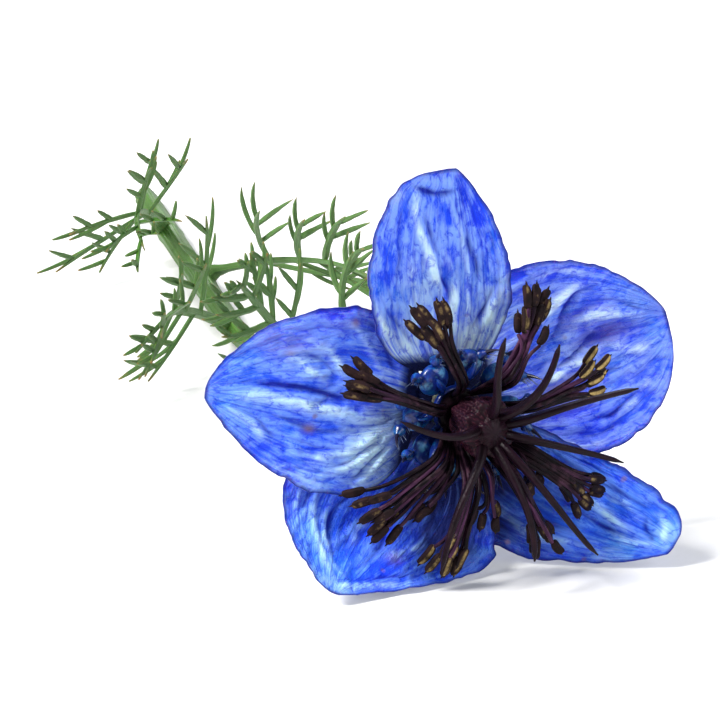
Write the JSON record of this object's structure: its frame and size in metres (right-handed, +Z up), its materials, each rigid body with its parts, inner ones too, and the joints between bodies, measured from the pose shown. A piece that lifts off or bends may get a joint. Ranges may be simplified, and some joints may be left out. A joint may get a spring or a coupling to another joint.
{
  "type": "love-in-a-mist flower",
  "caption": "Cut love-in-a-mist flower lying on a surface: broad ruffled blue petals, a ring of horned nectaries, arching dark stamens, a ribbed ovary with long styles, and feathery leaves.",
  "frame": {"origin": "middle of the flower's box, on the surface it lies on", "axes": "+Z up from the surface; the stem runs back along +Y and the bloom is at the -Y end, facing -Y turned a little to +X"},
  "size_m": [0.082, 0.1562, 0.0515],
  "materials": {
    "petal_blue": "vivid blue living petal with pale radiating veins, satin and slightly crumpled",
    "nectary_blue": "glossy dark teal-blue living tissue",
    "stamen_plum": "dark plum filaments with brown anthers dusted with ochre pollen",
    "pistil_plum": "dark plum ovary and styles, finely pimpled",
    "stem_green": "ribbed green living stem, satin",
    "leaf_green": "fresh green thread-fine leaf, satin"
  },
  "bodies": {
    "root": {"stem": "stem_green", "petal_right": "petal_blue", "petal_top": "petal_blue", "petal_left": "petal_blue", "petal_low_left": "petal_blue", "petal_low_right": "petal_blue", "nectaries": "nectary_blue", "stamens": "stamen_plum", "pistil": "pistil_plum", "leaf_1": "leaf_green", "leaf_2": "leaf_green", "leaf_3": "leaf_green", "leaf_4": "leaf_green", "leaf_5": "leaf_green"}
  },
  "joints": []
}
